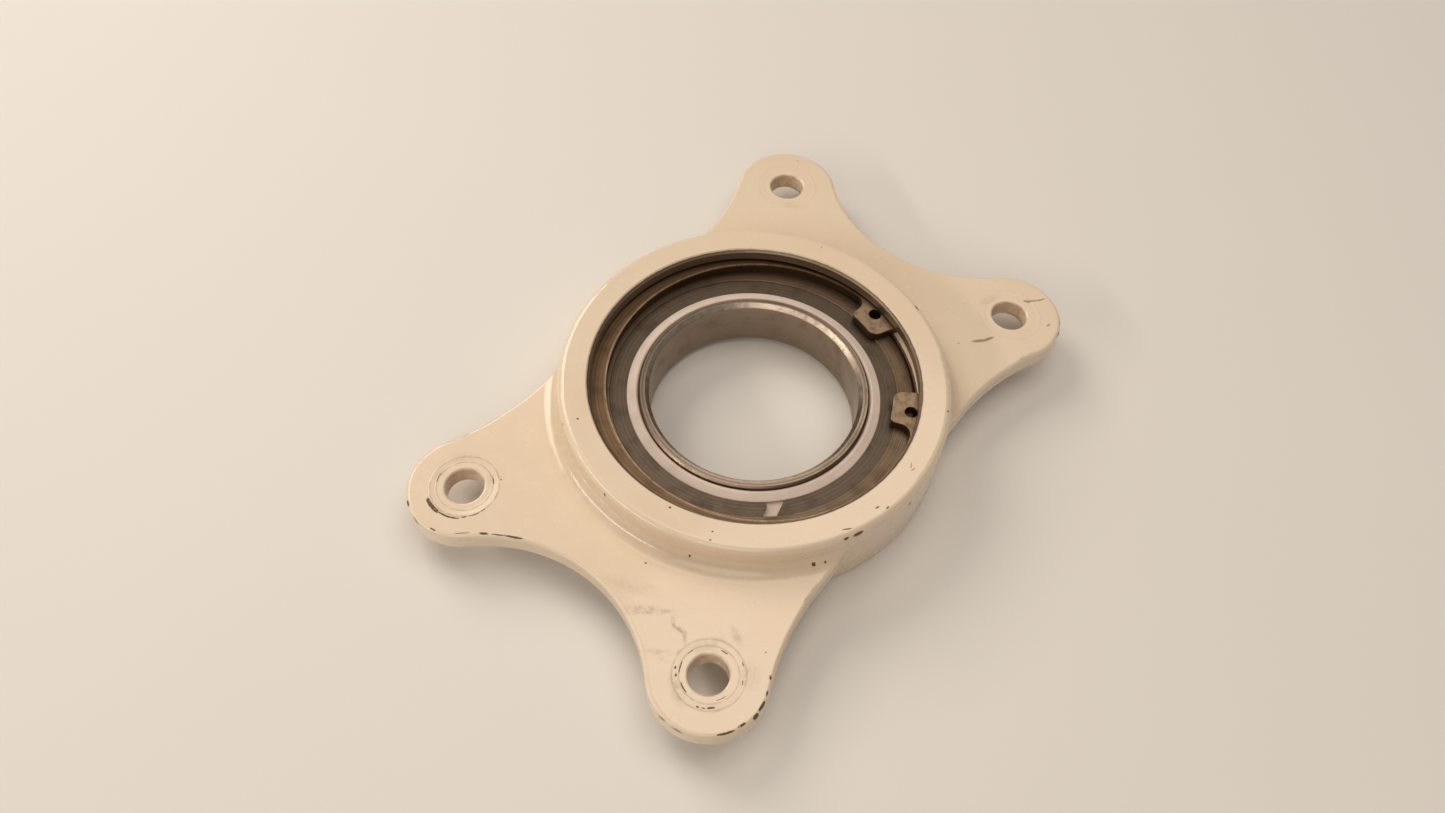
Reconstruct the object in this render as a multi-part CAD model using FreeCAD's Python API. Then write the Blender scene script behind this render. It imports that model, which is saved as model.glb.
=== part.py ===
import FreeCAD, Part
import math
import os

from FreeCAD import Vector

# Flange mount bearing: a four-lobed cast flange with a through hub that holds one sealed
# ball bearing, kept in place by an internal circlip.
# Millimetres, +Z up along the shaft. The origin is on the bore axis, in the plane of the
# flange's underside, which is the face that bolts down. The hub stands up from the flange and
# also reaches below it as a locating spigot.

# ---- driving dimensions -------------------------------------------------------------------

# Bolt pattern and flange plate.
BOLT_SPAN_X = 56.4        # hole centres across the short side
BOLT_SPAN_Y = 98.2        # hole centres along the long side
BOLT_HOLE_D = 7.0         # clears a 6 mm screw
LOBE_R = 10.5             # outer radius of each lobe, about its hole
FLANGE_T = 4.0
FLANK_OUT = 5.0           # the flat flanks run this far outside the hole centres
WAIST_ARC_R = 50.0        # hollow arc from each flank to its lobe
END_LAND = 10.8           # flange left between the hub and the middle of an end arc
FLANK_CORNER_R = 4.0      # hollow between each flank and the hub's wall
FLANGE_EDGE_R = 0.8       # rounding of the plate's upper edge
FLANGE_UNDER_EDGE_R = 0.5
HOLE_EDGE_R = 0.45        # rounding at the holes' upper edge
HOLE_UNDER_CHAMFER = 0.3

# Hub.
HUB_WALL = 6.0            # round the bearing's outer ring
RIM_LAND = 2.45           # rim above the circlip groove
SPIGOT_DEPTH = 5.2        # hub below the flange's underside
RIM_EDGE_R = 1.3
FOOT_FILLET_R = 3.0       # between the hub's wall and the flange
FOOT_TUCK = 0.03          # the foot runs this far into the hub's wall, so the two join cleanly
SPIGOT_CHAMFER = 0.8
MOUTH_CHAMFER = 0.7
SHOULDER_T = 1.45         # lip under the outer ring
SHOULDER_H = 2.5          # how far that lip covers the outer ring

# Ball bearing.
SHAFT_D = 40.0
BEARING_D = 62.0
INNER_PROUD = 0.85        # inner ring beyond the outer ring, on each side
BALL_D = 5.0
BALL_COUNT = 16
INNER_FLOOR_T = 2.48      # inner ring left under its race
RACE_CONFORMITY = 0.52    # groove radius as a share of the ball's diameter
LAND_DEPTH = 0.9          # race bottom to race land, radially
NECK_WALL = 2.0           # inner ring where the seals run
BORE_CHAMFER = 0.8
NECK_CHAMFER = 0.3
OUTER_CHAMFER = 0.5
RECESS_CHAMFER = 0.15

# Seals and their split retaining rings, one of each per side.
SEAL_SEAT_W = 0.73        # ledge under the seal's rim, from the outer ring's land
SNAP_DEPTH = 0.3          # top of the retaining ring under the outer ring's face
SNAP_T = 0.6
SNAP_W = 3.5              # from the groove's bottom to the ring's inner edge
SNAP_GROOVE_DEPTH = 0.4
SNAP_GAP = 2.3
SNAP_GAP_ANGLE = -45.3    # of the upper ring's gap, from +X
SNAP_GAP_SKEW = -30.0     # of the gap's sides, from radial
SNAP_CORNER_R = 0.8
SEAL_T = 0.55
SEAL_CROWN = 0.55         # how far the free lip rises over the retaining ring
SEAL_CREST_W = 0.75       # from the lip's edge out to its crest
SEAL_LIP_DROP = 0.45      # the lip's edge lies this far under the crest

# Cage: two pressed halves riveted together.
CAGE_T = 0.4
RIVET_D = 0.9
RIVET_HEAD_D = 1.5
RIVET_HEAD_T = 0.35

# Internal circlip, on top of the outer ring.
CIRCLIP_T = 2.0
CIRCLIP_GROOVE_W = 2.5
CIRCLIP_GROOVE_DEPTH = 1.5
CIRCLIP_WIDE = 4.4        # radial width of the arms opposite the gap
CIRCLIP_NARROW = 1.5      # what that width would taper to at the gap
CIRCLIP_GAP_ANGLE = 50.6  # middle of the gap, from +X
CIRCLIP_GAP_HALF = 14.8   # degrees from there to each end
CIRCLIP_LUG_HALF = 29.5   # degrees to the back of each lug
CIRCLIP_LUG_LENGTH = 6.15 # from the arms' outer edge to a lug's tip
CIRCLIP_LUG_INSET = 1.0   # the lugs stop this far inside the arms' outer edge
CIRCLIP_TIP_R = 2.0       # rounding of a lug's corner beside the gap
CIRCLIP_BACK_R = 0.9      # rounding of its other corner
CIRCLIP_ARM_R = 2.2       # hollow where a lug joins the arm
CIRCLIP_HOLE_D = 2.5
CIRCLIP_HOLE_INSET = 2.6  # plier holes, from the arms' outer edge
CIRCLIP_HOLE_HALF = 23.5  # degrees from the gap's middle to each plier hole

# Clearances, radial unless named otherwise.
BALL_CLEARANCE = 0.02     # ball to race, running
POCKET_CLEARANCE = 0.05   # ball to cage pocket, running
CAGE_CLEARANCE = 0.37     # cage to the race lands
CAGE_SEAL_GAP = 0.35      # cage to each seal, axial
SEAL_CLEARANCE = 0.04     # seal lip to inner ring, running
SEAL_FLOOR_GAP = 0.25     # under the seal's lip, axial
SNAP_CLEARANCE = 0.05
CIRCLIP_CLEARANCE = 0.05
RIVET_CLEARANCE = 0.0     # rivets fill their holes

# ---- places worked out from them ----------------------------------------------------------

SHAFT_R = SHAFT_D / 2
BEARING_R = BEARING_D / 2
BALL_R = BALL_D / 2
POCKET_R = BALL_R + POCKET_CLEARANCE
RACE_R = BALL_D * RACE_CONFORMITY
# Radii of the bearing, from the shaft outwards.
INNER_NECK_R = SHAFT_R + NECK_WALL
INNER_RACE_R = SHAFT_R + INNER_FLOOR_T
PITCH_R = INNER_RACE_R + BALL_CLEARANCE + BALL_R
OUTER_RACE_R = PITCH_R + BALL_R + BALL_CLEARANCE
INNER_LAND_R = INNER_RACE_R + LAND_DEPTH
OUTER_LAND_R = OUTER_RACE_R - LAND_DEPTH
CAGE_INNER_R = INNER_LAND_R + CAGE_CLEARANCE
CAGE_OUTER_R = OUTER_LAND_R - CAGE_CLEARANCE
RECESS_R = OUTER_LAND_R + SEAL_SEAT_W
SNAP_GROOVE_R = RECESS_R + SNAP_GROOVE_DEPTH
SNAP_INNER_R = SNAP_GROOVE_R - SNAP_W
# Heights over the bearing's middle plane, which the balls, cage and seals stack up.
RECESS_FLOOR = POCKET_R + CAGE_T + CAGE_SEAL_GAP
NECK_FLOOR = RECESS_FLOOR - SEAL_FLOOR_GAP
SEAL_SEAT_TOP = RECESS_FLOOR + SEAL_T
SNAP_TOP = SEAL_SEAT_TOP + SNAP_T
HALF_OUTER = SNAP_TOP + SNAP_DEPTH
HALF_INNER = HALF_OUTER + INNER_PROUD
# Housing round it.
HUB_R = BEARING_R + HUB_WALL
CORE_R = HUB_R - FOOT_TUCK
HUB_BOTTOM = -SPIGOT_DEPTH
OUTER_BOTTOM = HUB_BOTTOM + SHOULDER_T
MID_Z = OUTER_BOTTOM + HALF_OUTER
OUTER_TOP = MID_Z + HALF_OUTER
GROOVE_R = BEARING_R + CIRCLIP_GROOVE_DEPTH
GROOVE_TOP = OUTER_TOP + CIRCLIP_GROOVE_W
RIM_HEIGHT = GROOVE_TOP + RIM_LAND
BALL_STEP = 360.0 / BALL_COUNT
UP = Vector(0, 0, 1)


# ---- helpers ------------------------------------------------------------------------------

def polar(radius, degrees, z=0.0):
    angle = math.radians(degrees)
    return Vector(radius * math.cos(angle), radius * math.sin(angle), z)


def turned(points):
    """Solid of revolution about Z from a closed outline of (radius, height) points.

    A third entry of a point is the bulge point (radius, height) of an arc to the next one.
    """
    edges = []
    for index, point in enumerate(points):
        following = points[(index + 1) % len(points)]
        start = Vector(point[0], 0, point[1])
        end = Vector(following[0], 0, following[1])
        if len(point) == 3:
            middle = Vector(point[2][0], 0, point[2][1])
            edges.append(Part.Arc(start, middle, end).toShape())
        else:
            edges.append(Part.LineSegment(start, end).toShape())
    face = Part.Face(Part.Wire(edges))
    return face.revolve(Vector(0, 0, 0), UP, 360)


def cylinder(radius, bottom, top, x=0.0, y=0.0):
    return Part.makeCylinder(radius, top - bottom, Vector(x, y, bottom), UP)


def moved(shape, dz):
    copy = shape.copy()
    copy.translate(Vector(0, 0, dz))
    return copy


def spun(shape, degrees):
    copy = shape.copy()
    copy.rotate(Vector(0, 0, 0), UP, degrees)
    return copy


def flipped(shape):
    """Turned over about the bearing's middle plane, for the underside's copy."""
    return shape.mirror(Vector(0, 0, MID_Z), UP)


def sector(radius, first, last, bottom, top):
    """Wedge of a disc between two angles, for cutting or for a lug."""
    middle = (first + last) / 2
    start = polar(radius, first, bottom)
    end = polar(radius, last, bottom)
    centre = Vector(0, 0, bottom)
    arc = Part.Arc(start, polar(radius, middle, bottom), end).toShape()
    sides = [Part.LineSegment(centre, start).toShape(), arc, Part.LineSegment(end, centre).toShape()]
    return Part.Face(Part.Wire(sides)).extrude(Vector(0, 0, top - bottom))


def upright_edges(shape, x, y, reach):
    """Straight vertical edges of a shape that pass within reach of a point in plan."""
    found = []
    for edge in shape.Edges:
        first = edge.Vertexes[0].Point
        last = edge.Vertexes[-1].Point
        if math.hypot(first.x - last.x, first.y - last.y) > 1e-6:
            continue
        if abs(first.z - last.z) < 1e-6:
            continue
        if math.hypot(first.x - x, first.y - y) <= reach:
            found.append(edge)
    return found


def one_solid(shape):
    """The single solid of a finished sub-part, as a build check."""
    solids = shape.Solids
    if len(solids) != 1:
        raise ValueError("expected one solid, got %d" % len(solids))
    return solids[0]


# ---- housing ------------------------------------------------------------------------------

def flange_outline():
    """Closed outline of the plate: flat flanks, hollow arcs, round lobes, hollow ends."""
    half_x = BOLT_SPAN_X / 2
    half_y = BOLT_SPAN_Y / 2
    flank_x = half_x + FLANK_OUT
    # The waist arc is tangent to the flank and to the lobe's circle.
    waist_x = flank_x + WAIST_ARC_R
    reach = WAIST_ARC_R + LOBE_R
    waist_y = half_y - math.sqrt(reach ** 2 - (waist_x - half_x) ** 2)
    # The end arc is tangent to both lobes and passes END_LAND outside the hub.
    end_y = HUB_R + END_LAND
    rise = end_y - half_y
    end_arc_r = (half_x ** 2 + rise ** 2 - LOBE_R ** 2) / (2 * (LOBE_R - rise))
    end_centre = Vector(0, end_y + end_arc_r, 0)
    waist_centre = Vector(waist_x, waist_y, 0)
    lobe_centre = Vector(half_x, half_y, 0)

    def towards(centre, target, radius):
        return centre + (target - centre).normalize() * radius

    flank_end = Vector(flank_x, waist_y, 0)
    waist_join = towards(lobe_centre, waist_centre, LOBE_R)
    end_join = towards(lobe_centre, end_centre, LOBE_R)
    lobe_tip = towards(lobe_centre, lobe_centre * 2, LOBE_R)
    waist_middle = towards(waist_centre, (flank_end + waist_join) * 0.5, WAIST_ARC_R)
    end_middle = Vector(0, end_y, 0)

    def in_corner(point, x_sign, y_sign):
        return Vector(point.x * x_sign, point.y * y_sign, 0)

    edges = []
    for x_sign, y_sign in ((1, 1), (-1, 1), (-1, -1), (1, -1)):
        joins = [in_corner(p, x_sign, y_sign) for p in (flank_end, waist_join, end_join)]
        middles = [in_corner(p, x_sign, y_sign) for p in (waist_middle, lobe_tip)]
        edges.append(Part.Arc(joins[0], middles[0], joins[1]).toShape())
        edges.append(Part.Arc(joins[1], middles[1], joins[2]).toShape())
    for y_sign in (1, -1):
        left = in_corner(end_join, -1, y_sign)
        right = in_corner(end_join, 1, y_sign)
        edges.append(Part.Arc(right, in_corner(end_middle, 1, y_sign), left).toShape())
    for x_sign in (1, -1):
        low = in_corner(flank_end, x_sign, -1)
        high = in_corner(flank_end, x_sign, 1)
        edges.append(Part.LineSegment(low, high).toShape())
    return Part.Wire(Part.__sortEdges__(edges))


def footprint():
    """Outline of plate and hub core together, with the corners between the two hollowed."""
    plate = Part.Face(flange_outline()).extrude(Vector(0, 0, FLANGE_T))
    joined = plate.fuse(cylinder(CORE_R, 0, FLANGE_T)).removeSplitter()
    corners = []
    for edge in joined.Edges:
        ends = [edge.Vertexes[0].Point, edge.Vertexes[-1].Point]
        upright = abs(ends[0].z - ends[1].z) > FLANGE_T / 2
        if upright and abs(math.hypot(ends[0].x, ends[0].y) - CORE_R) < 1e-4:
            if abs(ends[0].y) > 1e-3:
                corners.append(edge)
    if corners:
        joined = joined.makeFillet(FLANK_CORNER_R, corners)
    underside = [face for face in joined.Faces if face.BoundBox.ZMax < 1e-6]
    return underside[0].OuterWire


def foot_solid():
    """Everything up to the top of the foot fillet, out to a radius past the lobes."""
    foot_top = FLANGE_T + FOOT_FILLET_R
    foot_r = CORE_R + FOOT_FILLET_R
    slack = FOOT_FILLET_R * (1 - math.sqrt(0.5))
    far = BOLT_SPAN_X + BOLT_SPAN_Y
    return turned([
        (0, 0),
        (far, 0),
        (far, FLANGE_T),
        (foot_r, FLANGE_T, (CORE_R + slack, FLANGE_T + slack)),
        (CORE_R, foot_top),
        (0, foot_top),
    ])


def upper_edges(body):
    """The plate's upper outline, with its run up over the foot fillet to the hub's wall."""
    found = []
    for edge in body.Edges:
        box = edge.BoundBox
        middle = edge.valueAt((edge.FirstParameter + edge.LastParameter) / 2)
        radius = math.hypot(middle.x, middle.y)
        in_height = box.ZMin > FLANGE_T - 1e-3 and box.ZMax < FLANGE_T + FOOT_FILLET_R + 1e-3
        on_foot = abs(radius - CORE_R - FOOT_FILLET_R) < 1e-3
        if in_height and radius > CORE_R + 1e-3 and not on_foot:
            found.append(edge)
    return found


def under_edges(body):
    """The plate's lower outline, all round."""
    found = []
    for edge in body.Edges:
        box = edge.BoundBox
        if abs(box.ZMin) < 1e-6 and abs(box.ZMax) < 1e-6:
            found.append(edge)
    return found


def hub_solid():
    """Round wall of the hub, not yet bored: rim rounded, spigot's end chamfered."""
    corner = RIM_EDGE_R * (1 - math.sqrt(0.5))
    return turned([
        (0, HUB_BOTTOM),
        (HUB_R - SPIGOT_CHAMFER, HUB_BOTTOM),
        (HUB_R, HUB_BOTTOM + SPIGOT_CHAMFER),
        (HUB_R, RIM_HEIGHT - RIM_EDGE_R, (HUB_R - corner, RIM_HEIGHT - corner)),
        (HUB_R - RIM_EDGE_R, RIM_HEIGHT),
        (0, RIM_HEIGHT),
    ])


def bore_tool():
    """Everything that is cut out of the hub: mouth, circlip groove, seat and shoulder opening."""
    shoulder_r = BEARING_R - SHOULDER_H
    above = RIM_HEIGHT + 1
    below = HUB_BOTTOM - 1
    return turned([
        (0, below),
        (shoulder_r, below),
        (shoulder_r, OUTER_BOTTOM),
        (BEARING_R, OUTER_BOTTOM),
        (BEARING_R, OUTER_TOP),
        (GROOVE_R, OUTER_TOP),
        (GROOVE_R, GROOVE_TOP),
        (BEARING_R, GROOVE_TOP),
        (BEARING_R, RIM_HEIGHT - MOUTH_CHAMFER),
        (BEARING_R + MOUTH_CHAMFER, RIM_HEIGHT),
        (BEARING_R + MOUTH_CHAMFER, above),
        (0, above),
    ])


def bolt_hole_tool():
    """One bolt hole, with its upper edge rounded and its lower edge broken."""
    radius = BOLT_HOLE_D / 2
    corner = HOLE_EDGE_R * (1 - math.sqrt(0.5))
    above = FLANGE_T + 1
    return turned([
        (0, -1),
        (radius + HOLE_UNDER_CHAMFER, -1),
        (radius + HOLE_UNDER_CHAMFER, 0),
        (radius, HOLE_UNDER_CHAMFER),
        (radius, FLANGE_T - HOLE_EDGE_R, (radius + corner, FLANGE_T - corner)),
        (radius + HOLE_EDGE_R, FLANGE_T),
        (radius + HOLE_EDGE_R, above),
        (0, above),
    ])


def housing():
    plan = Part.Face(footprint())
    body = plan.extrude(Vector(0, 0, FLANGE_T + FOOT_FILLET_R)).common(foot_solid())
    body = body.makeFillet(FLANGE_EDGE_R, upper_edges(body))
    body = body.makeFillet(FLANGE_UNDER_EDGE_R, under_edges(body))
    body = body.fuse(hub_solid()).removeSplitter()
    tools = [bore_tool()]
    for x_sign in (1, -1):
        for y_sign in (1, -1):
            tool = bolt_hole_tool()
            tool.translate(Vector(x_sign * BOLT_SPAN_X / 2, y_sign * BOLT_SPAN_Y / 2, 0))
            tools.append(tool)
    return one_solid(body.cut(tools))


# ---- ball bearing -------------------------------------------------------------------------

def race_tool(centre_r):
    """Ring of round section that leaves a race groove."""
    return Part.makeTorus(centre_r, RACE_R, Vector(0, 0, MID_Z), UP)


def outer_ring():
    half = [
        (OUTER_LAND_R, 0),
        (OUTER_LAND_R, RECESS_FLOOR),
        (RECESS_R, RECESS_FLOOR),
        (RECESS_R, SEAL_SEAT_TOP),
        (SNAP_GROOVE_R, SEAL_SEAT_TOP),
        (SNAP_GROOVE_R, SNAP_TOP),
        (RECESS_R, SNAP_TOP),
        (RECESS_R, HALF_OUTER - RECESS_CHAMFER),
        (RECESS_R + RECESS_CHAMFER, HALF_OUTER),
        (BEARING_R - OUTER_CHAMFER, HALF_OUTER),
        (BEARING_R, HALF_OUTER - OUTER_CHAMFER),
        (BEARING_R, 0),
    ]
    upper = moved(turned(half), MID_Z)
    blank = upper.fuse(flipped(upper)).removeSplitter()
    return one_solid(blank.cut(race_tool(OUTER_RACE_R - RACE_R)))


def inner_ring():
    half = [
        (SHAFT_R, 0),
        (INNER_LAND_R, 0),
        (INNER_LAND_R, NECK_FLOOR),
        (INNER_NECK_R, NECK_FLOOR),
        (INNER_NECK_R, HALF_INNER - NECK_CHAMFER),
        (INNER_NECK_R - NECK_CHAMFER, HALF_INNER),
        (SHAFT_R + BORE_CHAMFER, HALF_INNER),
        (SHAFT_R, HALF_INNER - BORE_CHAMFER),
    ]
    upper = moved(turned(half), MID_Z)
    blank = upper.fuse(flipped(upper)).removeSplitter()
    return one_solid(blank.cut(race_tool(INNER_RACE_R + RACE_R)))


def ball(index):
    place = polar(PITCH_R, index * BALL_STEP, MID_Z)
    return Part.makeSphere(BALL_R, place)


def pocket_bar(index, radius):
    """Bar of round section along the radius through one ball."""
    width = CAGE_OUTER_R - CAGE_INNER_R
    start = polar(CAGE_INNER_R - width / 2, index * BALL_STEP, MID_Z)
    return Part.makeCylinder(radius, 2 * width, start, polar(1, index * BALL_STEP))


def cage_band(bottom, top):
    return cylinder(CAGE_OUTER_R, bottom, top).cut(cylinder(CAGE_INNER_R, bottom, top))


def rivet_place(index):
    return polar(PITCH_R, (index + 0.5) * BALL_STEP)


def cage_upper():
    """Pressed half: flat between the balls, arched over each one, drilled for the rivets."""
    arch_r = POCKET_R + CAGE_T
    band = cage_band(MID_Z, MID_Z + CAGE_T)
    arches = [pocket_bar(index, arch_r) for index in range(BALL_COUNT)]
    space = cage_band(MID_Z, MID_Z + arch_r + 1)
    arches = Part.makeCompound(arches).common(space)
    half = band.fuse(arches.Solids).removeSplitter()
    half = half.cut([pocket_bar(index, POCKET_R) for index in range(BALL_COUNT)])
    drills = []
    for index in range(BALL_COUNT):
        place = rivet_place(index)
        radius = RIVET_D / 2 + RIVET_CLEARANCE
        drills.append(cylinder(radius, MID_Z - 1, MID_Z + CAGE_T + 1, place.x, place.y))
    return one_solid(half.cut(drills))


def cage_rivets():
    """One rivet between each pair of balls, headed on both sides."""
    rivets = []
    low = MID_Z - CAGE_T
    high = MID_Z + CAGE_T
    for index in range(BALL_COUNT):
        place = rivet_place(index)
        shank = cylinder(RIVET_D / 2, low, high, place.x, place.y)
        upper = cylinder(RIVET_HEAD_D / 2, high, high + RIVET_HEAD_T, place.x, place.y)
        lower = cylinder(RIVET_HEAD_D / 2, low - RIVET_HEAD_T, low, place.x, place.y)
        rivets.append(one_solid(shank.fuse([upper, lower]).removeSplitter()))
    return Part.makeCompound(rivets)


def seal_upper():
    """White seal: a flat rim clamped in the outer ring, and a raised lip at the inner ring."""
    lip_r = INNER_NECK_R + SEAL_CLEARANCE
    crown_top = SNAP_TOP + SEAL_CROWN
    crown_r = lip_r + SEAL_CREST_W
    slope_r = SNAP_INNER_R - SNAP_CLEARANCE
    profile = [
        (lip_r, RECESS_FLOOR),
        (RECESS_R, RECESS_FLOOR),
        (RECESS_R, SEAL_SEAT_TOP),
        (slope_r, SEAL_SEAT_TOP),
        (slope_r, SNAP_TOP - SNAP_CLEARANCE),
        (crown_r, crown_top, (lip_r + SEAL_CREST_W / 3, crown_top - SEAL_LIP_DROP / 4)),
        (lip_r, crown_top - SEAL_LIP_DROP),
    ]
    return one_solid(moved(turned(profile), MID_Z))


def snap_ring_upper():
    """Flat split ring that holds the seal; its gap is cut on the skew."""
    outer_r = SNAP_GROOVE_R - SNAP_CLEARANCE
    bottom = MID_Z + SEAL_SEAT_TOP
    top = MID_Z + SNAP_TOP
    ring = cylinder(outer_r, bottom, top).cut(cylinder(SNAP_INNER_R, bottom, top))
    middle_r = (outer_r + SNAP_INNER_R) / 2
    length = 4 * (outer_r - SNAP_INNER_R)
    gap = Part.makeBox(length, SNAP_GAP, SNAP_T + 2, Vector(-length / 2, -SNAP_GAP / 2, bottom - 1))
    gap.rotate(Vector(0, 0, 0), UP, SNAP_GAP_ANGLE + SNAP_GAP_SKEW)
    gap.translate(polar(middle_r, SNAP_GAP_ANGLE))
    ring = one_solid(ring.cut(gap))
    inner_corners = upright_edges(ring, 0, 0, SNAP_INNER_R + 1e-3)
    return one_solid(ring.makeFillet(SNAP_CORNER_R, inner_corners))


# ---- circlip ------------------------------------------------------------------------------

def circlip():
    """Flat spring ring, thickest opposite its gap, with two drilled lugs beside the gap.

    It is drawn with the gap's middle on +X and then turned to its place.
    """
    bottom = OUTER_TOP
    top = bottom + CIRCLIP_T
    outer_r = GROOVE_R - CIRCLIP_CLEARANCE
    lug_r = outer_r - CIRCLIP_LUG_LENGTH
    # The inner edge is a circle set off towards the gap, so that the arms taper.
    inner_r = outer_r - (CIRCLIP_WIDE + CIRCLIP_NARROW) / 2
    offset = (CIRCLIP_WIDE - CIRCLIP_NARROW) / 2
    ring = cylinder(outer_r, bottom, top)
    ring = ring.cut(cylinder(inner_r, bottom - 1, top + 1, offset, 0))
    lugs = sector(outer_r - CIRCLIP_LUG_INSET, -CIRCLIP_LUG_HALF, CIRCLIP_LUG_HALF, bottom, top)
    lugs = lugs.cut(cylinder(lug_r, bottom - 1, top + 1))
    body = ring.fuse(lugs).removeSplitter()
    gap = sector(2 * outer_r, -CIRCLIP_GAP_HALF, CIRCLIP_GAP_HALF, bottom - 1, top + 1)
    body = one_solid(body.cut(gap))
    arm_r = offset * math.cos(math.radians(CIRCLIP_LUG_HALF)) + inner_r
    for side in (1, -1):
        corners = (
            (lug_r, side * CIRCLIP_GAP_HALF, CIRCLIP_TIP_R),
            (lug_r, side * CIRCLIP_LUG_HALF, CIRCLIP_BACK_R),
            (arm_r, side * CIRCLIP_LUG_HALF, CIRCLIP_ARM_R),
        )
        for radius, angle, rounding in corners:
            place = polar(radius, angle)
            body = body.makeFillet(rounding, upright_edges(body, place.x, place.y, 0.2))
        hole = polar(outer_r - CIRCLIP_HOLE_INSET, side * CIRCLIP_HOLE_HALF)
        body = body.cut(cylinder(CIRCLIP_HOLE_D / 2, bottom - 1, top + 1, hole.x, hole.y))
    return one_solid(spun(body, CIRCLIP_GAP_ANGLE))


# ---- build --------------------------------------------------------------------------------

def build():
    upper_cage = cage_upper()
    upper_seal = seal_upper()
    upper_snap = snap_ring_upper()
    nodes = {
        "housing": housing(),
        "outer_ring": outer_ring(),
        "inner_ring": inner_ring(),
        "cage_upper": upper_cage,
        "cage_lower": flipped(upper_cage),
        "cage_rivets": cage_rivets(),
        "seal_upper": upper_seal,
        "seal_lower": flipped(upper_seal),
        "snap_ring_upper": upper_snap,
        "snap_ring_lower": flipped(upper_snap),
        "circlip": circlip(),
    }
    for index in range(BALL_COUNT):
        nodes["ball_%02d" % (index + 1)] = ball(index)
    return nodes


os.makedirs("parts", exist_ok=True)
for name, shape in build().items():
    if not shape.isValid():
        raise ValueError(name + " is not a valid shape")
    shape.exportStep("parts/" + name + ".step")
    print(name, len(shape.Solids), "solid(s)", round(shape.Volume, 2), "mm3")
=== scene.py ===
import math

import bpy
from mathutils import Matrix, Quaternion, Vector


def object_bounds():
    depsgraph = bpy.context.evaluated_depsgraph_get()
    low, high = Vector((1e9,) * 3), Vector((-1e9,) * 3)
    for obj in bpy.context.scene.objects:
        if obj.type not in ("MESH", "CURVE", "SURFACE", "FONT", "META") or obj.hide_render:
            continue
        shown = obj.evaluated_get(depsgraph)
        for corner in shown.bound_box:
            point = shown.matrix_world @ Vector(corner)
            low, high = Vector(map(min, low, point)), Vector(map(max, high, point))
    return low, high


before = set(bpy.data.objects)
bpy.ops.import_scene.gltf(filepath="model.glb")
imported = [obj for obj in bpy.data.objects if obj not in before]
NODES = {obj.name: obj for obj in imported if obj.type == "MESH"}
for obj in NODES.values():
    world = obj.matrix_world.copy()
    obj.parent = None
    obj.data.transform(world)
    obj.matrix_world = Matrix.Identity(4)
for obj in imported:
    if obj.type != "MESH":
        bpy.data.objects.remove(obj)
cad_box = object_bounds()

# Flange mount bearing: cream paint on a cast four-lobed flange, chipped at its edges and marked
# by washers; a bare machined bore with the circlip and the sealed ball bearing in it.
# Positions in the materials are in millimetres: x and y from the bore's axis, z from the
# flange's underside.


# ---- node graphs --------------------------------------------------------------------------

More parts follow.
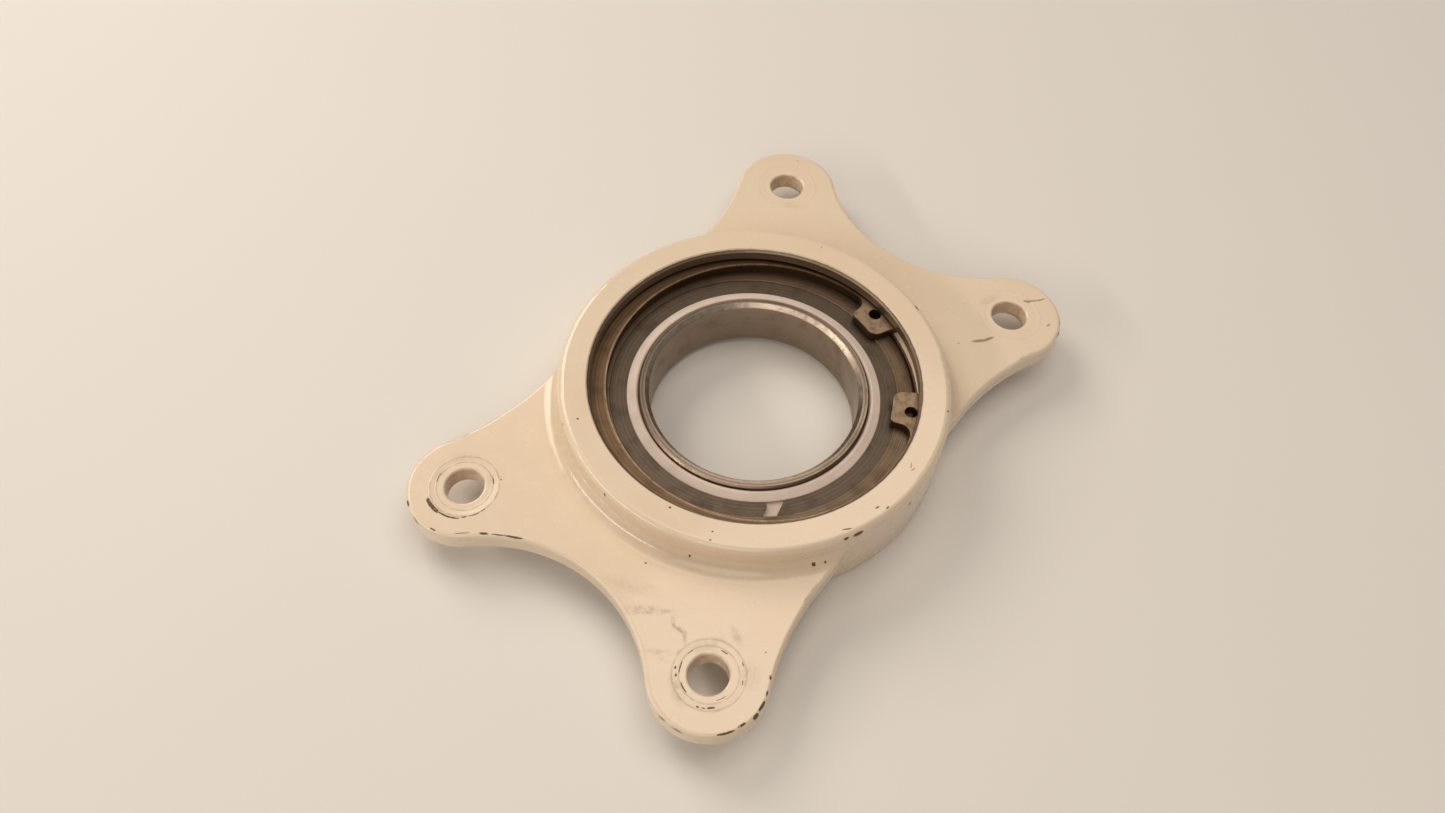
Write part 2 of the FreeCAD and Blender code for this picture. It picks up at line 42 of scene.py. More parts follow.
class Graph:
    """A material's node tree, with short calls for the nodes used here."""

    def __init__(self, name):
        self.material = bpy.data.materials.new(name)
        self.material.use_nodes = True
        self.tree = self.material.node_tree
        self.tree.nodes.clear()
        self.shader = self.tree.nodes.new("ShaderNodeBsdfPrincipled")
        output = self.tree.nodes.new("ShaderNodeOutputMaterial")
        self.tree.links.new(self.shader.outputs[0], output.inputs[0])
        texture = self.tree.nodes.new("ShaderNodeTexCoord")
        self.mm = self.vector("SCALE", texture.outputs["Object"], scale=1000.0)
        split = self.tree.nodes.new("ShaderNodeSeparateXYZ")
        self.tree.links.new(self.mm, split.inputs[0])
        self.x, self.y, self.z = split.outputs
        self.radius = self.root(self.add(self.mul(self.x, self.x), self.mul(self.y, self.y)))

    def put(self, socket, value):
        if isinstance(value, bpy.types.NodeSocket):
            self.tree.links.new(value, socket)
        else:
            socket.default_value = value

    def math(self, operation, *values):
        node = self.tree.nodes.new("ShaderNodeMath")
        node.operation = operation
        for socket, value in zip(node.inputs, values):
            self.put(socket, value)
        return node.outputs[0]

    def add(self, a, b):
        return self.math("ADD", a, b)

    def sub(self, a, b):
        return self.math("SUBTRACT", a, b)

    def mul(self, a, b):
        return self.math("MULTIPLY", a, b)

    def root(self, a):
        return self.math("SQRT", a)

    def most(self, *values):
        return self.largest(values)

    def largest(self, values):
        """Largest of many. Given a generator, each value's nodes are made just before they are used."""
        found = None
        for value in values:
            found = value if found is None else self.math("MAXIMUM", found, value)
        return found

    def inverse(self, a):
        return self.math("SUBTRACT", 1.0, a)

    def vector(self, operation, *values, scale=None):
        node = self.tree.nodes.new("ShaderNodeVectorMath")
        node.operation = operation
        for socket, value in zip(node.inputs, values):
            self.put(socket, value)
        if scale is not None:
            node.inputs["Scale"].default_value = scale
        if operation in ("LENGTH", "DISTANCE", "DOT_PRODUCT"):
            return node.outputs["Value"]
        return node.outputs["Vector"]

    def ramp(self, value, low, high, to_low=0.0, to_high=1.0, smooth=True):
        node = self.tree.nodes.new("ShaderNodeMapRange")
        node.interpolation_type = "SMOOTHSTEP" if smooth else "LINEAR"
        # A smooth step never leaves its range, and needs no clamp.
        node.clamp = not smooth
        self.put(node.inputs["Value"], value)
        for name, number in (("From Min", low), ("From Max", high), ("To Min", to_low), ("To Max", to_high)):
            self.put(node.inputs[name], number)
        return node.outputs["Result"]

    def band(self, value, middle, half, soft):
        away = self.math("ABSOLUTE", self.sub(value, middle))
        return self.ramp(away, half - soft, half + soft, 1.0, 0.0)

    def noise(self, scale, detail=3.0, rough=0.5, where=None):
        """Noise of about that many bumps per millimetre."""
        node = self.tree.nodes.new("ShaderNodeTexNoise")
        node.noise_dimensions = "3D"
        self.put(node.inputs["Vector"], where or self.mm)
        node.inputs["Scale"].default_value = scale
        node.inputs["Detail"].default_value = detail
        node.inputs["Roughness"].default_value = rough
        return node.outputs["Fac"]

    def lines(self, value, scale, detail=2.0, rough=0.6):
        """One-dimensional noise: lines where value is constant, such as turning marks."""
        node = self.tree.nodes.new("ShaderNodeTexNoise")
        node.noise_dimensions = "1D"
        self.put(node.inputs["W"], value)
        node.inputs["Scale"].default_value = scale
        node.inputs["Detail"].default_value = detail
        node.inputs["Roughness"].default_value = rough
        return node.outputs["Fac"]

    def wobbled(self, scale, size, offset=0.0):
        """The position in millimetres, pushed about by noise of that size."""
        node = self.tree.nodes.new("ShaderNodeTexNoise")
        node.noise_dimensions = "3D"
        self.put(node.inputs["Vector"], self.vector("ADD", self.mm, (offset, offset, offset)))
        node.inputs["Scale"].default_value = scale
        node.inputs["Detail"].default_value = 3.0
        node.inputs["Roughness"].default_value = 0.65
        centred = self.vector("SUBTRACT", node.outputs["Color"], (0.5, 0.5, 0.5))
        return self.vector("ADD", self.mm, self.vector("SCALE", centred, scale=2.0 * size))

    def blob(self, where, centre, half, turn=0.0, soft=0.25):
        """Ellipsoid about a centre: half sizes along its own axes, turned in plan by degrees."""
        cosine = math.cos(math.radians(turn))
        sine = math.sin(math.radians(turn))
        there = self.vector("SUBTRACT", where, centre)
        along = self.vector("DOT_PRODUCT", there, (cosine / half[0], sine / half[0], 0.0))
        across = self.vector("DOT_PRODUCT", there, (-sine / half[1], cosine / half[1], 0.0))
        above = self.vector("DOT_PRODUCT", there, (0.0, 0.0, 1.0 / half[2]))
        node = self.tree.nodes.new("ShaderNodeCombineXYZ")
        for socket, value in zip(node.inputs, (along, across, above)):
            self.put(socket, value)
        return self.ramp(self.vector("LENGTH", node.outputs[0]), 1.0 - soft, 1.0 + soft, 1.0, 0.0)

    def arc(self, radius, angle, middle, across, start, end):
        """Arc of a circle, tapered to points, from start to end degrees."""
        half = math.radians(end - start) / 2
        centre = math.radians(end + start) / 2
        u = self.math("MULTIPLY_ADD", radius, 1.0 / across, -middle / across)
        v = self.math("MULTIPLY_ADD", angle, 1.0 / half, -centre / half)
        size = self.math("MULTIPLY_ADD", u, u, self.mul(self.mul(v, v), self.mul(v, v)))
        return self.ramp(size, 0.6, 1.4, 1.0, 0.0)

    def polar(self, where, x, y):
        """Distance and angle about a vertical line at x, y."""
        there = self.vector("SUBTRACT", where, (x, y, 0.0))
        split = self.tree.nodes.new("ShaderNodeSeparateXYZ")
        self.tree.links.new(there, split.inputs[0])
        there_x, there_y = split.outputs[0], split.outputs[1]
        distance = self.root(self.add(self.mul(there_x, there_x), self.mul(there_y, there_y)))
        return distance, self.math("ARCTAN2", there_y, there_x)

    def mix(self, factor, a, b):
        node = self.tree.nodes.new("ShaderNodeMix")
        node.data_type = "RGBA"
        node.clamp_factor = True
        self.put(node.inputs[0], factor)
        self.put(node.inputs[6], a)
        self.put(node.inputs[7], b)
        return node.outputs[2]

    def blend(self, factor, a, b):
        """Number a where the factor is 0, b where it is 1."""
        return self.ramp(factor, 0.0, 1.0, a, b, smooth=False)

    def bump(self, height, depth, normal=None):
        """Height of 1 stands that many millimetres proud."""
        node = self.tree.nodes.new("ShaderNodeBump")
        node.inputs["Strength"].default_value = 1.0
        node.inputs["Distance"].default_value = depth / 1000.0
        self.put(node.inputs["Height"], height)
        if normal is not None:
            self.put(node.inputs["Normal"], normal)
        return node.outputs[0]

    def finish(self, colour, roughness, metallic=0.0, normal=None, **constants):
        self.put(self.shader.inputs["Base Color"], colour)
        self.put(self.shader.inputs["Roughness"], roughness)
        self.put(self.shader.inputs["Metallic"], metallic)
        if normal is not None:
            self.put(self.shader.inputs["Normal"], normal)
        for name, value in constants.items():
            self.shader.inputs[name.replace("_", " ")].default_value = value
        return self.material


def rgb(red, green, blue):
    return (red, green, blue, 1.0)


# ---- housing: paint outside, bare machined metal inside the hub ---------------------------

# Bolt holes A and B are at the +Y end, C and D at the -Y end, B and D on the +X side.
HOLE_X = 28.2
HOLE_Y = 49.1

# Scars that follow a washer or a lobe's end, as arcs about hole C or D:
# (radius, from degrees, to degrees, half width).
SCARS_C = [
    (6.75, -119, -86, 0.34), (6.68, -92, -52, 0.14), (6.45, -49, -41, 0.11), (6.40, -38, -20, 0.08),
    (6.32, -18, -9, 0.06), (5.10, -172, -150, 0.07), (5.24, 44, 57, 0.09),
    (10.25, -124, -117, 0.16), (9.95, -81, -75, 0.12),
]
SCARS_D = [
    (5.60, -156, -151, 0.17), (5.38, -143, -137, 0.17), (4.86, -169, -142, 0.08), (4.74, -125, -101, 0.11),
    (5.78, -72, -67, 0.14), (5.76, -63, -57, 0.09), (5.68, -54, -41, 0.17), (4.70, 86, 102, 0.09),
    (4.92, 160, 173, 0.06), (4.60, -36, -14, 0.05), (5.95, 52, 60, 0.08), (5.75, 21, 29, 0.08),
    (10.20, 34, 38, 0.18), (10.05, 18, 23, 0.12), (10.15, 2, 13, 0.20), (10.30, -7, 0, 0.24),
    (10.00, -23, -15, 0.18), (10.15, -44, -27, 0.14),
]

# Paint chipped through to dark metal: (x, y, z, half length, half width, half height, turn).
CHIPS = [
    # upper edge of the end between C and D
    (-21.6, -56.1, 3.8, 1.5, 0.09, 0.4, 43),
    (-18.7, -53.8, 3.75, 0.9, 0.24, 0.45, 34),
    (-16.6, -52.4, 3.8, 1.2, 0.11, 0.4, 33),
    (-14.2, -51.0, 3.8, 1.9, 0.16, 0.4, 28),
    # rim's outer edge and the hub's wall
    (31.9, -15.9, 10.7, 0.85, 0.11, 0.4, 50),
    (33.75, -14.9, 9.8, 1.0, 0.18, 0.6, 66),
    (32.7, -17.0, 9.8, 0.5, 0.14, 0.5, 62),
    (33.6, -9.0, 10.7, 0.40, 0.12, 0.4, 70),
    (35.0, -7.9, 10.6, 0.35, 0.12, 0.4, 72),
    (14.6, 33.3, 10.6, 0.7, 0.20, 0.4, -22),
    (37.0, -2.6, 7.0, 0.3, 0.25, 0.9, 0),
    # edge of lobe B
    (38.4, 51.6, 3.7, 0.2, 0.7, 0.5, 10),
    (37.2, 54.4, 3.7, 0.2, 0.5, 0.4, 28),
]

# Small dark specks: (x, y, z, radius).
SPECKS = [
    (30.2, -22.4, 5.15, 0.38), (31.5, -20.7, 5.0, 0.22), (5.7, -31.9, 10.7, 0.22),
    (-5.2, -36.6, 9.3, 0.24), (-20.6, -30.7, 10.2, 0.22), (-18.9, -28.4, 10.7, 0.20),
    (14.3, -30.9, 10.7, 0.16), (15.0, -32.4, 10.7, 0.18), (12.7, -35.0, 5.8, 0.18),
    (32.4, 16.3, 10.7, 0.20), (7.1, -40.2, 4.0, 0.18), (-33.1, -57.9, 3.4, 0.30),
    (-9.0, 34.0, 10.7, 0.12), (-31.0, 57.0, 4.0, 0.14), (24.0, 36.2, 4.0, 0.13),
    (-24.0, -44.0, 4.0, 0.14), (33.2, -40.1, 4.0, 0.12),
]

# Olive scratches in the paint by hole B, and brown marks on the rim and on the ends of lobes C
# and D: (x, y, z, half length, half width, half height, turn).
OLIVE = [
    (27.0, 39.6, 4.0, 1.7, 0.36, 0.5, 46),
    (28.0, 41.0, 4.0, 1.3, 0.32, 0.5, 62),
    (29.9, 55.4, 4.0, 1.8, 0.17, 0.5, 42),
    (31.2, 56.9, 4.0, 1.1, 0.14, 0.5, 55),
    (29.2, 54.6, 4.0, 0.7, 0.30, 0.5, 20),
    (35.7, 52.0, 4.0, 0.5, 0.2, 0.5, 70),
]
BROWN = [
    (33.5, 2.0, 10.7, 0.6, 0.10, 0.4, 125),
    (34.2, 1.5, 10.7, 0.5, 0.10, 0.4, 75),
    (-30.2, -59.2, 3.3, 1.6, 0.2, 0.4, -22),
    (27.0, -59.4, 3.3, 1.6, 0.2, 0.4, 8),
    (30.4, -59.4, 3.3, 1.4, 0.2, 0.4, 2),
    (-26.0, -59.8, 3.2, 0.9, 0.15, 0.4, 8),
]

# Grey-brown scuffs, faint: (x, y, z, half length, half width, turn, strength).
SCUFFS = [
    (17.9, -45.7, 4.0, 1.0, 0.38, -40, 1.0),
    (19.6, -46.0, 4.0, 1.3, 0.38, 5, 1.0),
    (21.1, -46.7, 4.0, 0.9, 0.32, -45, 0.8),
    (12.8, -46.9, 4.0, 3.4, 0.8, 36, 0.65),
    (14.8, -45.5, 4.0, 2.0, 0.45, 40, 0.65),
    (19.1, -51.9, 4.0, 2.0, 0.35, 2, 0.70),
    (27.6, -40.9, 4.0, 1.6, 0.7, -25, 0.55),
    (8.0, -45.0, 4.0, 4.5, 1.2, 22, 0.30),
    (25.0, -45.6, 4.0, 3.0, 1.2, 55, 0.40),
    (33.5, -45.0, 4.0, 2.0, 1.5, -60, 0.38),
    (25.8, -54.6, 4.0, 2.2, 0.8, -30, 0.55),
    (19.0, -51.5, 4.0, 2.2, 0.5, 35, 0.45),
    (-25.2, -45.0, 4.0, 1.2, 0.5, -40, 0.70),
    (-33.3, -50.0, 4.0, 1.3, 0.4, 80, 0.50),
    (-33.0, -45.5, 4.0, 2.5, 0.9, 50, 0.35),
    (23.0, 50.0, 4.0, 2.0, 0.8, 70, 0.30),
    (-23.5, 45.5, 4.0, 2.0, 0.8, 30, 0.30),
    (31.3, -19.8, 4.2, 1.0, 0.5, 30, 0.60),
    (-38.5, 4.0, 5.5, 0.8, 3.0, 0, 0.35),
]


# Paint runs partway over the mouth's chamfer, to this radius. The bore is machined after
# painting, so it is bare from there down to just above the hub's foot, and all through the
# shoulder's opening.
PAINT_END_R = 31.4
BARE_FROM_Z = -4.6
SHOULDER_END_R = 28.75


def bare_area(g):
    edge = g.add(g.radius, g.mul(g.sub(g.noise(0.9, 4.0, 0.6), 0.5), 0.22))
    in_mouth = g.mul(g.ramp(edge, PAINT_END_R, PAINT_END_R + 0.1, 1.0, 0.0),
                     g.ramp(g.z, BARE_FROM_Z, BARE_FROM_Z + 0.2))
    in_shoulder = g.ramp(edge, SHOULDER_END_R, SHOULDER_END_R + 0.1, 1.0, 0.0)
    return g.most(in_mouth, in_shoulder)


def washer_prints(g):
    """Two faint rings round every hole, the paint flattened inside them, the dirt just outside
    them, and the edge of the hole."""
    # The pattern is the same in all four quarters, so one distance serves for all the holes.
    dx = g.sub(g.math("ABSOLUTE", g.x), HOLE_X)
    dy = g.sub(g.math("ABSOLUTE", g.y), HOLE_Y)
    away = g.root(g.add(g.mul(dx, dx), g.mul(dy, dy)))
    # Holes C and D, at the near end, have been used most.
    strength = g.mul(g.ramp(g.z, 3.7, 3.9), g.ramp(g.y, -30.0, 30.0, 1.0, 0.35))
    rings = g.mul(g.most(g.band(away, 5.05, 0.10, 0.16), g.band(away, 6.2, 0.10, 0.20)), strength)
    dent = g.mul(g.ramp(away, 4.7, 6.3, 1.0, 0.0), strength)
    dirt = g.mul(g.band(away, 6.35, 0.15, 0.35), strength)
    in_hole = g.ramp(away, 3.62, 3.9, 1.0, 0.0)
    return rings, dent, dirt, in_hole


def scars_and_chips(g, torn):
    """Long scars that follow the washers and the lobes' ends, and the chips apart from them."""
    radius_c, angle_c = g.polar(torn, -HOLE_X, -HOLE_Y)
    scars_c = g.largest(g.arc(radius_c, angle_c, r, w, a, b) for r, a, b, w in SCARS_C)
    radius_d, angle_d = g.polar(torn, HOLE_X, -HOLE_Y)
    scars_d = g.largest(g.arc(radius_d, angle_d, r, w, a, b) for r, a, b, w in SCARS_D)
    crumbs = g.ramp(g.noise(2.2, 4.0, 0.7), 0.34, 0.44)
    scars = g.mul(g.mul(g.most(scars_c, scars_d), crumbs), g.ramp(g.z, 2.6, 3.0))
    chips = g.largest(g.blob(torn, c[:3], c[3:6], c[6]) for c in CHIPS)
    return scars, chips


def edge_nicks(g):
    """Tiny nicks scattered along the plate's rounded upper edge and the rim's."""
    surface = g.tree.nodes.new("ShaderNodeNewGeometry")
    tilt = g.tree.nodes.new("ShaderNodeSeparateXYZ")
    g.tree.links.new(surface.outputs["Normal"], tilt.inputs[0])
    slanted = g.band(tilt.outputs[2], 0.62, 0.22, 0.12)
    plate_edge = g.mul(g.band(g.z, 3.6, 0.5, 0.2), slanted)
    rim_edge = g.mul(g.ramp(g.z, 9.3, 9.8), slanted)
    shifted = g.vector("ADD", g.mm, (7.0, 3.0, 0.0))
    nick_noise = g.ramp(g.noise(0.9, 5.0, 0.72, where=shifted), 0.735, 0.75)
    return g.mul(nick_noise, g.most(plate_edge, g.mul(rim_edge, 0.4)))


def housing_material():
    g = Graph("paint_over_casting")
    ragged = g.wobbled(1.6, 0.22)
    torn = g.wobbled(2.4, 0.13)
    fine = g.wobbled(4.0, 0.10, 31.0)

    bare = bare_area(g)
    rings, dent, ring_dirt, in_hole = washer_prints(g)
    scars, chips = scars_and_chips(g, torn)
    specks = g.largest(g.blob(fine, s[:3], (s[3], s[3] * 0.8, 0.5), 20) for s in SPECKS)
    olive = g.largest(g.blob(fine, c[:3], c[3:6], c[6], 0.35) for c in OLIVE)
    brown = g.largest(g.blob(ragged, c[:3], c[3:6], c[6], 0.4) for c in BROWN)
    scuffs = g.largest(
        g.mul(g.blob(ragged, s[:3], (s[3], s[4], 0.8), s[5], 0.7), s[6]) for s in SCUFFS)
    scuffs = g.mul(scuffs, g.ramp(g.noise(1.1, 5.0, 0.72), 0.36, 0.58))
    through = g.most(scars, chips, specks, edge_nicks(g))

    # Paint: cream, a little uneven, yellower where handled, with painted shade in the fillet at the base of
    # the hub and below the flange.
    cream = rgb(0.790, 0.650, 0.500)
    deeper = rgb(0.770, 0.622, 0.468)
    colour = g.mix(g.ramp(g.noise(0.035, 3.0, 0.5), 0.35, 0.65), cream, deeper)
    handled = g.mul(g.ramp(g.noise(0.16, 4.0, 0.6), 0.50, 0.72), 0.14)
    colour = g.mix(handled, colour, rgb(0.700, 0.560, 0.415))
    # Painted shade in the concave fillet at the base of the hub, broken up by noise.
    foot_shade = g.mul(g.band(g.radius, 38.4, 1.0, 1.6), g.band(g.z, 5.2, 1.0, 1.0))
    foot_shade = g.mul(foot_shade, g.ramp(g.noise(0.35, 4.0, 0.6), 0.35, 0.75, 0.10, 0.42))
    colour = g.mix(foot_shade, colour, rgb(0.56, 0.39, 0.25))
    colour = g.mix(g.mul(rings, g.ramp(g.noise(0.8, 3.0, 0.6), 0.35, 0.6, 0.10, 0.55)), colour,
                   rgb(0.42, 0.28, 0.18))
    colour = g.mix(g.mul(ring_dirt, g.ramp(g.noise(0.5, 4.0, 0.6), 0.48, 0.66, 0.0, 0.42)), colour,
                   rgb(0.40, 0.26, 0.15))
    colour = g.mix(g.mul(in_hole, g.ramp(g.noise(0.6, 4.0, 0.6), 0.3, 0.75, 0.15, 0.75)), colour,
                   rgb(0.47, 0.31, 0.20))
    colour = g.mix(g.mul(scuffs, 0.72), colour, rgb(0.37, 0.26, 0.17))
    # Painted shade: the paint darkens below the level of the flange's underside.
    shade_below_flange = g.ramp(g.z, -0.4, 0.2, 0.30, 0.0)
    colour = g.mix(shade_below_flange, colour, rgb(0.66, 0.47, 0.32))
    colour = g.mix(g.mul(olive, 0.85), colour, rgb(0.270, 0.220, 0.095))
    colour = g.mix(g.mul(brown, 0.80), colour, rgb(0.260, 0.125, 0.060))
    metal_chip = g.mix(g.noise(2.5, 3.0, 0.6), rgb(0.045, 0.024, 0.013), rgb(0.210, 0.120, 0.068))
    colour = g.mix(through, colour, metal_chip)

    # Bare bore: brown-grey machined metal with turning marks, dirt and a little rust.
    turning = g.lines(g.add(g.radius, g.z), 5.0, 4.0, 0.7)
    bare_colour = g.mix(g.ramp(turning, 0.30, 0.70), rgb(0.150, 0.108, 0.072), rgb(0.330, 0.255, 0.185))
    rust = g.ramp(g.noise(0.30, 6.0, 0.7), 0.56, 0.70)
    rust_side = g.blob(g.mm, (-26.0, -14.0, 7.0), (11.0, 12.0, 6.0), 0, 0.6)
    rust = g.mul(rust, g.ramp(rust_side, 0.0, 1.0, 0.25, 0.95))
    bare_colour = g.mix(rust, bare_colour, rgb(0.095, 0.048, 0.022))
    bare_colour = g.mix(g.ramp(g.noise(3.0, 2.0, 0.5), 0.68, 0.74, 0.0, 0.6), bare_colour,
                        rgb(0.50, 0.40, 0.29))
    colour = g.mix(bare, colour, bare_colour)

    paint_rough = g.ramp(g.noise(0.25, 5.0, 0.6), 0.3, 0.7, 0.20, 0.29)
    paint_rough = g.add(paint_rough, g.mul(g.most(scuffs, rings), 0.25))
    rough = g.blend(through, paint_rough, 0.78)
    rough = g.blend(bare, rough, g.ramp(turning, 0.3, 0.7, 0.52, 0.36))
    metallic = g.mul(bare, g.ramp(rust, 0.0, 1.0, 0.85, 0.25))

    # Relief: orange peel in the paint, the washers' prints, and the depth of each chip.
    peel = g.bump(g.noise(1.1, 2.0, 0.45), 0.010)
    printed = g.bump(g.sub(g.mul(rings, 0.5), dent), 0.11, peel)
    chipped = g.bump(g.inverse(g.most(through, g.mul(brown, 0.4), g.mul(olive, 0.4))), 0.10, printed)
    paint_side = g.bump(g.mul(bare, -1.0), 0.06, chipped)
    turned = g.bump(g.mul(turning, bare), 0.012, paint_side)
    return g.finish(colour, rough, metallic, turned, IOR=1.5, Coat_Weight=0.4, Coat_Roughness=0.07)


# ---- metals -------------------------------------------------------------------------------

def radial_tangent(g):
    node = g.tree.nodes.new("ShaderNodeTangent")
    node.direction_type = "RADIAL"
    node.axis = "Z"
    g.tree.links.new(node.outputs[0], g.shader.inputs["Tangent"])


def turned_steel(name, dark, light, rough, stain, stain_amount, line_scale=7.0, relief=0.006,
                 anisotropic=0.45, edge=None):
    """Ring metal with fine circular lines, stains and a few bright scratches."""
    g = Graph(name)
    lines = g.lines(g.add(g.radius, g.mul(g.z, 1.03)), line_scale, 4.0, 0.75)
    colour = g.mix(g.ramp(lines, 0.28, 0.72), dark, light)
    cloud = g.noise(0.22, 5.0, 0.62)
    colour = g.mix(g.ramp(cloud, 0.45, 0.72, 0.0, stain_amount), colour, stain)
    grain = g.noise(6.0, 2.0, 0.6)
    colour = g.mix(g.ramp(grain, 0.60, 0.75, 0.0, 0.25), colour, stain)
    swept = g.vector("MULTIPLY", g.mm, (1.0, 0.16, 1.0))
    scratch = g.ramp(g.noise(2.6, 3.0, 0.6, where=swept), 0.735, 0.76)
    colour = g.mix(g.mul(scratch, 0.7), colour, light)
    if edge is not None:
        colour = edge(g, colour)
    roughness = g.add(g.ramp(lines, 0.3, 0.7, rough + 0.06, rough - 0.06), g.ramp(cloud, 0.4, 0.7, 0.0, 0.10))
    relief_node = g.bump(lines, relief)
    radial_tangent(g)
    return g.finish(colour, roughness, 1.0, g.bump(grain, relief * 0.8, relief_node),
                    Anisotropic=anisotropic)


def circlip_edge(g, colour):
    """The circlip's inner edge, its lugs' tips and its upper sides are lighter, partly worn bright and partly
    a painted highlight; its lower sides are darkened by painted shade.
    """
    normal = g.tree.nodes.new("ShaderNodeNewGeometry")
    split = g.tree.nodes.new("ShaderNodeSeparateXYZ")
    g.tree.links.new(normal.outputs["Normal"], split.inputs[0])
    side = g.ramp(split.outputs[2], 0.35, 0.6, 1.0, 0.0)
    # The arms' inner edge is a circle set off 1.45 mm towards the gap, at 50.6 degrees.
    dx = g.sub(g.x, 0.92)
    dy = g.sub(g.y, 1.12)
    away = g.root(g.add(g.mul(dx, dx), g.mul(dy, dy)))
    near = g.ramp(g.add(away, g.mul(g.sub(g.noise(1.4, 3.0, 0.6), 0.5), 0.35)), 29.55, 30.05, 1.0, 0.0)
    tips = g.ramp(g.radius, 26.5, 27.1, 1.0, 0.0)
    # Lighter metal: partly worn bright, partly a painted highlight along the inner edge, the lug tips and the
    # upper sides.
    worn_and_highlit = g.mul(
        g.most(near, tips, g.mul(side, 0.55)), g.ramp(g.noise(0.8, 4.0, 0.6), 0.30, 0.62, 0.35, 1.0))
    upper = g.ramp(g.z, 7.2, 7.7)
    worn_and_highlit = g.mul(worn_and_highlit, g.ramp(upper, 0.0, 1.0, 0.25, 1.0))
    colour = g.mix(g.mul(worn_and_highlit, 0.7), colour, rgb(0.44, 0.33, 0.23))
    # Painted shade on the circlip's lower sides.
    return g.mix(g.mul(side, g.ramp(upper, 0.0, 1.0, 0.65, 0.0)), colour, rgb(0.060, 0.042, 0.030))


def inner_edge(g, colour):
    """Painted highlight on the chamfer at the bore, and two bands of painted shade further out, beside the
    seal.
    """
    # Painted highlight on the bore's chamfer.
    bright = g.band(g.radius, 20.45, 0.38, 0.12)
    facing = g.ramp(g.math("ABSOLUTE", g.sub(g.z, 1.0)), 4.2, 4.7)
    colour = g.mix(g.mul(g.mul(bright, facing), g.ramp(g.noise(0.9, 3.0, 0.6), 0.3, 0.6, 0.3, 0.95)),
                   colour, rgb(0.62, 0.52, 0.42))
    # Painted shade: a thin dark line in the recess near the seal.
    groove_shade = g.mul(g.band(g.radius, 21.25, 0.10, 0.07), facing)
    colour = g.mix(g.mul(groove_shade, 0.55), colour, rgb(0.055, 0.040, 0.030))
    # Painted shade on the face beside and under the seal.
    lip_shade = g.mul(g.ramp(g.radius, 21.85, 21.98), facing)
    return g.mix(g.mul(lip_shade, 0.25), colour, rgb(0.08, 0.058, 0.042))


def seal_material():
    g = Graph("white_seal")
    cloud = g.noise(0.30, 4.0, 0.55)
    colour = g.mix(g.ramp(cloud, 0.35, 0.68), rgb(0.740, 0.620, 0.545), rgb(0.680, 0.560, 0.480))
    tooling = g.lines(g.radius, 6.0, 3.0, 0.6)
    colour = g.mix(g.ramp(tooling, 0.55, 0.75, 0.0, 0.14), colour, rgb(0.42, 0.32, 0.26))
    specks = g.ramp(g.noise(1.5, 5.0, 0.7), 0.72, 0.75)
    colour = g.mix(g.mul(specks, 0.7), colour, rgb(0.19, 0.125, 0.085))
    # Painted shade along the seal's inner edge, beside the gap to the inner ring.
    lip_shade = g.ramp(g.radius, 22.08, 22.5, 0.40, 0.0)
    colour = g.mix(lip_shade, colour, rgb(0.36, 0.27, 0.21))
    # Painted shade where the seal runs under the snap ring.
    shade_under_snap_ring = g.ramp(g.radius, 24.0, 24.25, 0.0, 0.30)
    colour = g.mix(shade_under_snap_ring, colour, rgb(0.52, 0.40, 0.31))
    roughness = g.ramp(cloud, 0.3, 0.7, 0.38, 0.50)
    relief = g.bump(tooling, 0.010, g.bump(g.noise(1.5, 3.0, 0.5), 0.03))
    g.shader.inputs["Subsurface Weight"].default_value = 0.25
    g.shader.inputs["Subsurface Scale"].default_value = 0.0008
    return g.finish(colour, roughness, 0.0, relief, IOR=1.38)


def paint(name, material):
    node = NODES[name]
    node.data.materials.clear()
    node.data.materials.append(material)


ring_steel = turned_steel("ring_steel", rgb(0.092, 0.062, 0.041), rgb(0.240, 0.175, 0.122), 0.40,
                          rgb(0.085, 0.055, 0.036), 0.55)
inner_steel = turned_steel("inner_ring_steel", rgb(0.240, 0.180, 0.135), rgb(0.440, 0.350, 0.275), 0.30,
                           rgb(0.150, 0.100, 0.066), 0.40, 9.0, 0.004, 0.6, inner_edge)
snap_steel = turned_steel("retaining_ring_steel", rgb(0.085, 0.064, 0.048), rgb(0.170, 0.132, 0.102), 0.46,
                          rgb(0.060, 0.042, 0.030), 0.40, 6.0, 0.004, 0.3)
clip_steel = turned_steel("phosphated_spring_steel", rgb(0.120, 0.074, 0.043), rgb(0.225, 0.146, 0.088), 0.46,
                          rgb(0.095, 0.060, 0.036), 0.55, 3.0, 0.006, 0.2, circlip_edge)
cage_steel = turned_steel("cage_strip", rgb(0.34, 0.32, 0.29), rgb(0.55, 0.52, 0.48), 0.34,
                          rgb(0.16, 0.11, 0.07), 0.35, 3.0, 0.005, 0.2)


def ball_material():
    g = Graph("polished_ball")
    film = g.noise(0.9, 4.0, 0.6)
    colour = g.mix(g.ramp(film, 0.4, 0.7), rgb(0.66, 0.64, 0.61), rgb(0.50, 0.46, 0.41))
    scratch = g.ramp(g.noise(7.0, 2.0, 0.6), 0.70, 0.74)
    colour = g.mix(g.mul(scratch, 0.4), colour, rgb(0.8, 0.79, 0.77))
    return g.finish(colour, g.ramp(film, 0.3, 0.7, 0.08, 0.20), 1.0, g.bump(scratch, 0.002))


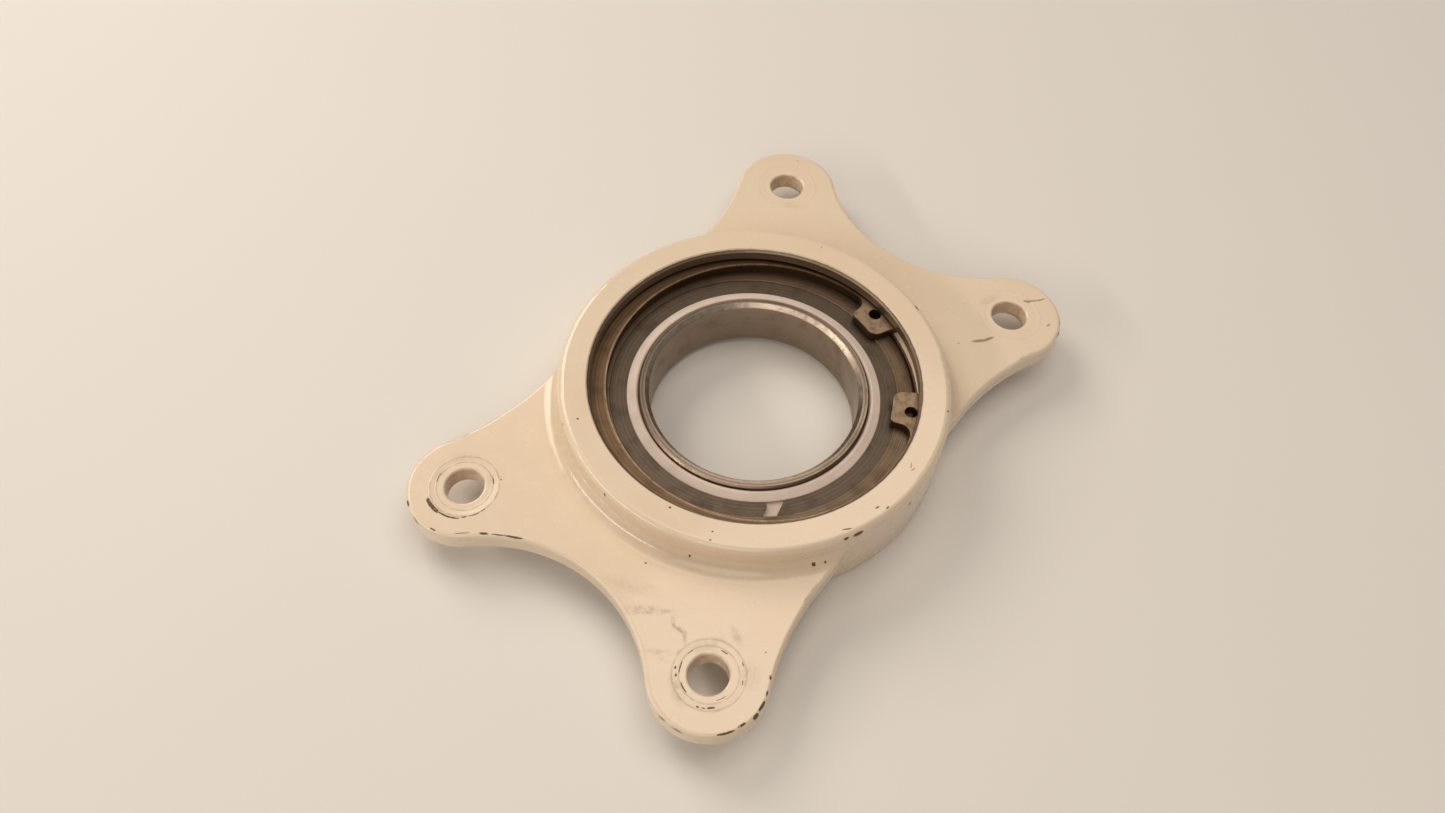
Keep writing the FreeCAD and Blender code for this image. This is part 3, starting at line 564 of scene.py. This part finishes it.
balls = ball_material()
white_seal = seal_material()
paint("housing", housing_material())
paint("outer_ring", ring_steel)
paint("inner_ring", inner_steel)
paint("circlip", clip_steel)
for name in ("snap_ring_upper", "snap_ring_lower"):
    paint(name, snap_steel)
for name in ("seal_upper", "seal_lower"):
    paint(name, white_seal)
for name in ("cage_upper", "cage_lower", "cage_rivets"):
    paint(name, cage_steel)
for name in NODES:
    if name.startswith("ball_"):
        paint(name, balls)


# ---- floor, light, camera -----------------------------------------------------------------

def floor_material():
    g = Graph("pale_floor")
    colour = g.mix(g.noise(0.01, 4.0, 0.5), rgb(0.74, 0.715, 0.685), rgb(0.77, 0.745, 0.715))
    return g.finish(colour, 0.62, 0.0, g.bump(g.noise(0.5, 3.0, 0.5), 0.02))


low = cad_box[0]
floor_mesh = bpy.data.meshes.new("floor")
reach = 3.0
corners = [(-reach, -reach), (reach, -reach), (reach, reach), (-reach, reach)]
floor_mesh.from_pydata([(x, y, low.z) for x, y in corners], [], [(0, 1, 2, 3)])
floor = bpy.data.objects.new("floor", floor_mesh)
bpy.context.scene.collection.objects.link(floor)
floor_mesh.materials.append(floor_material())


def softbox(name, place, aim, width, height, power, colour):
    data = bpy.data.lights.new(name, "AREA")
    data.shape = "RECTANGLE"
    data.size = width
    data.size_y = height
    data.energy = power
    data.color = colour
    light = bpy.data.objects.new(name, data)
    bpy.context.scene.collection.objects.link(light)
    light.location = place
    light.rotation_mode = "QUATERNION"
    light.rotation_quaternion = (Vector(aim) - Vector(place)).to_track_quat("-Z", "Y")


WARM = (1.0, 0.90, 0.78)
softbox("key", (-0.62, 0.10, 0.52), (0, 0, 0), 0.42, 0.42, 2.9, WARM)
softbox("overhead", (0.05, 0.20, 0.80), (0, 0, 0), 0.60, 0.60, 2.4, WARM)
softbox("front", (0.30, -0.62, 0.55), (0, 0, 0), 0.50, 0.50, 1.2, WARM)
softbox("strip", (-0.35, -0.62, 0.34), (0, 0, 0), 0.70, 0.045, 1.7, WARM)

world = bpy.data.worlds.new("studio")
world.use_nodes = True
background = world.node_tree.nodes["Background"]
background.inputs["Color"].default_value = (1.0, 0.93, 0.85, 1.0)
background.inputs["Strength"].default_value = 0.22
scene = bpy.context.scene
scene.world = world
scene.view_settings.view_transform = "Standard"
scene.view_settings.look = "None"

camera_data = bpy.data.cameras.new("camera")
camera_data.sensor_fit = "HORIZONTAL"
camera_data.sensor_width = 36.0
camera_data.lens = 28.635
camera_data.clip_start = 0.01
camera_data.clip_end = 20.0
camera = bpy.data.objects.new("camera", camera_data)
scene.collection.objects.link(camera)
camera.location = (0.067964, -0.106335, 0.185118)
aim = Vector((-0.00453, -0.00361, 0.0))
camera.rotation_mode = "QUATERNION"
level = (aim - camera.location).to_track_quat("-Z", "Y")
camera.rotation_quaternion = level @ Quaternion((0, 0, 1), math.radians(3.63))
scene.camera = camera
